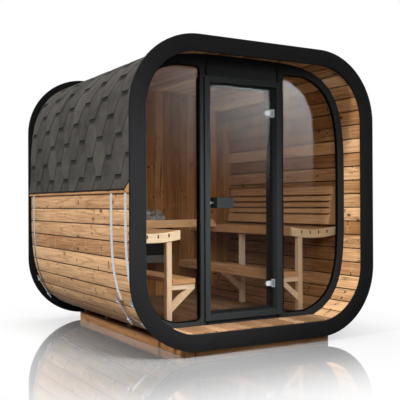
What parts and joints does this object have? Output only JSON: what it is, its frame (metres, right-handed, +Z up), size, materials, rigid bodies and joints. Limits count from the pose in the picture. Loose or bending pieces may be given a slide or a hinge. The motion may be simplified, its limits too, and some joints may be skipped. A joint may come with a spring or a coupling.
{
  "type": "outdoor sauna",
  "caption": "Free-standing timber sauna cabin with a bowed stave shell between ring frames, shingled roof, glazed front, hinged glass door, benches and heater.",
  "frame": {"origin": "on the ground under the middle of the building", "axes": "+X to the right seen from the front, +Y from the glazed front to the rear, +Z up"},
  "size_m": [2.204, 2.289, 2.303],
  "materials": {
    "base_timber": "sawn, oiled",
    "stave_timber": "planed, knotty, oiled",
    "floor_timber": "planed",
    "bench_timber": "planed smooth",
    "ring_paint": "black stain over faint grain",
    "wall_paint": "matt anthracite paint",
    "frame_paint": "matt anthracite paint",
    "window_glass": "bronze tinted",
    "door_glass": "bronze tinted, toughened",
    "handle_grey": "matt dark grey",
    "fitting_chrome": "satin chrome",
    "shingle": "bitumen with slate granules",
    "galvanised_steel": "galvanised",
    "heater_black": "heat-proof black",
    "heater_stone": "rough stone"
  },
  "bodies": {
    "building": {"base_sides": "base_timber", "base_cross_boards": "base_timber", "shell_floor": "stave_timber", "shell_left": "stave_timber", "shell_right": "stave_timber", "shell_roof": "stave_timber", "shell_corner_bottom_left": "stave_timber", "shell_corner_bottom_right": "stave_timber", "shell_corner_top_left": "stave_timber", "shell_corner_top_right": "stave_timber", "porch_deck": "floor_timber", "cabin_floor": "floor_timber", "floor_bearers": "floor_timber", "front_ring_boards": "ring_paint", "front_ring_corners": "ring_paint", "rear_ring_boards": "ring_paint", "rear_ring_corners": "ring_paint", "front_wall_left": "wall_paint", "front_wall_right": "wall_paint", "front_wall_header": "wall_paint", "front_wall_sill": "wall_paint", "rear_wall": "wall_paint", "window_left": "window_glass", "window_right": "window_glass", "door_jambs": "frame_paint", "door_head": "frame_paint", "door_threshold": "frame_paint", "door_hinge_plates": "fitting_chrome", "roof_cover": "shingle", "eave_battens": "base_timber", "hoop_bands": "galvanised_steel", "hoop_rods": "galvanised_steel", "upper_bench_left": "bench_timber", "upper_bench_right": "bench_timber", "upper_bench_ends": "bench_timber", "lower_benches": "bench_timber", "bench_legs": "bench_timber", "bench_brackets": "bench_timber", "backrests": "bench_timber", "backrest_uprights": "bench_timber", "heater_body": "heater_black", "heater_stones": "heater_stone", "heater_guard_rail": "bench_timber"},
    "door": {"door_glass": "door_glass", "door_handles": "handle_grey", "door_latch": "fitting_chrome", "door_hinge_clamps": "fitting_chrome"}
  },
  "joints": [
    {"name": "door_hinge", "type": "hinge", "parent": "building", "child": "door", "pos_m": [0.297, -0.8295, 1.132], "axis": [0, 0, 1], "range_deg": [0, 90]}
  ]
}
